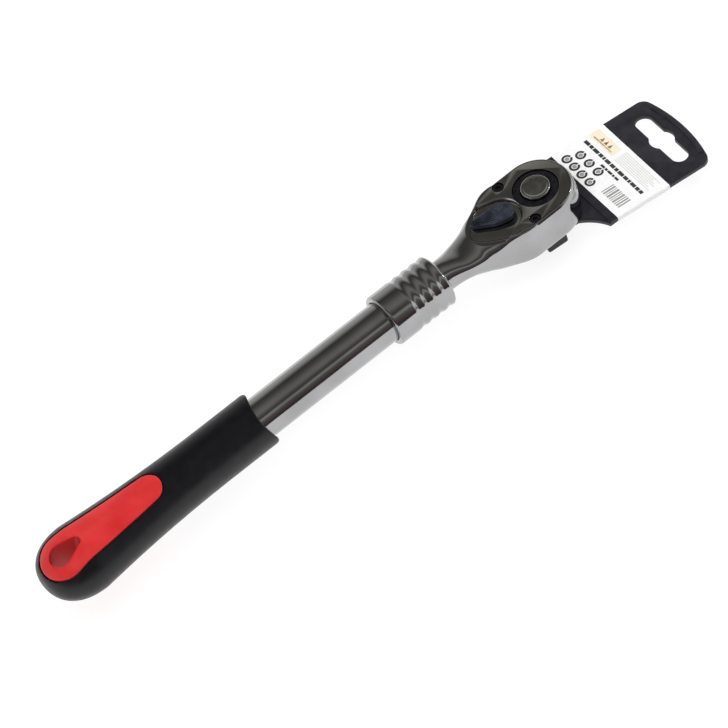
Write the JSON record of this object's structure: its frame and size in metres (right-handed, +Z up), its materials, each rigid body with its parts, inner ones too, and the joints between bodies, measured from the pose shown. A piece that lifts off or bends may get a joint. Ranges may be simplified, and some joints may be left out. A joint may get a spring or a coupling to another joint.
{
  "type": "ratchet wrench",
  "caption": "Chromed ratchet wrench with reversing lever, quick-release square drive, extending locked handle and red and black grip, on a black display hanger.",
  "frame": {"origin": "centre of the square drive's end face, which points down", "axes": "+Z up through the head towards its lever face, +X from the handle towards the head's rounded end, +Y completes the right hand"},
  "size_m": [0.3285, 0.0475, 0.0396],
  "materials": {
    "chrome": "bright mirror plating",
    "blackened_steel": "satin black oxide",
    "bright_steel": "plain ground steel",
    "lever_black": "satin black",
    "button_metal": "dull turned steel",
    "grip_black": "satin black elastomer",
    "grip_red": "smooth red elastomer",
    "guide_plastic": "natural nylon",
    "hanger_black": "black moulded plastic",
    "label_paper": null
  },
  "bodies": {
    "head": {"head_forging": "chrome", "cover_plate": "chrome", "cover_screw_upper": "blackened_steel", "cover_screw_lower": "blackened_steel", "thrust_washer": "bright_steel", "bar_guide": "guide_plastic", "stop_ring": "bright_steel"},
    "lever": {"reversing_lever": "lever_black", "selector_shaft": "bright_steel", "lever_plunger": "bright_steel", "lever_spring": "bright_steel"},
    "pawl": {"pawl": "bright_steel"},
    "drive": {"drive_gear": "blackened_steel", "button_spring": "bright_steel"},
    "button": {"release_button": "button_metal", "release_pin": "bright_steel"},
    "socket_ball": {"socket_ball": "bright_steel"},
    "handle": {"outer_tube": "chrome", "guide_bush": "guide_plastic", "tube_plug": "guide_plastic", "grip_sleeve": "grip_black", "grip_insert": "grip_red", "collar_snap_ring": "bright_steel", "collar_spring": "bright_steel"},
    "collar": {"lock_collar": "chrome"},
    "lock_ball_upper": {"lock_ball_upper": "bright_steel"},
    "lock_ball_lower": {"lock_ball_lower": "bright_steel"},
    "hanger": {"retail_hanger": "hanger_black", "hanger_label": "label_paper"}
  },
  "joints": [
    {"name": "extension_slide", "type": "slide", "parent": "head", "child": "handle", "axis": [-1, 0, 0], "range_m": [0, 0.1]},
    {"name": "collar_slide", "type": "slide", "parent": "handle", "child": "collar", "axis": [1, 0, 0], "range_m": [0, 0.0045], "stiffness_N_per_m": 1500, "springref_m": -0.004, "deforming": ["collar_spring"]},
    {"name": "lock_ball_upper_slide", "type": "slide", "parent": "handle", "child": "lock_ball_upper", "axis": [0, 0, 1], "range_m": [0, 0.00115]},
    {"name": "lock_ball_lower_slide", "type": "slide", "parent": "handle", "child": "lock_ball_lower", "axis": [0, 0, -1], "range_m": [0, 0.00115]},
    {"name": "lever_hinge", "type": "hinge", "parent": "head", "child": "lever", "pos_m": [-0.0168, 0, 0.0261], "axis": [0, 0, 1], "range_deg": [0, 40]},
    {"name": "pawl_hinge", "type": "hinge", "parent": "head", "child": "pawl", "pos_m": [-0.015, 0, 0.0261], "axis": [0, 0, 1], "range_deg": [-9, 0]},
    {"name": "drive_spin", "type": "hinge", "parent": "head", "child": "drive", "pos_m": [0, 0, 0.0261], "axis": [0, 0, 1], "continuous": true},
    {"name": "button_slide", "type": "slide", "parent": "drive", "child": "button", "axis": [0, 0, -1], "range_m": [0, 0.0022], "stiffness_N_per_m": 1200, "springref_m": -0.002, "deforming": ["button_spring"]},
    {"name": "socket_ball_slide", "type": "slide", "parent": "drive", "child": "socket_ball", "axis": [-0.0872, -0.9962, 0], "range_m": [0, 0.0007]},
    {"name": "hanger_slide", "type": "slide", "parent": "head", "child": "hanger", "axis": [0, 0, -1], "range_m": [0, 0.016]}
  ],
  "couplings": [
    {"joint": "lock_ball_upper_slide", "follows": "collar_slide", "ratio": 0.2555},
    {"joint": "lock_ball_lower_slide", "follows": "collar_slide", "ratio": 0.2555},
    {"joint": "pawl_hinge", "follows": "lever_hinge", "ratio": -0.225},
    {"joint": "socket_ball_slide", "follows": "button_slide", "ratio": 0.318}
  ]
}
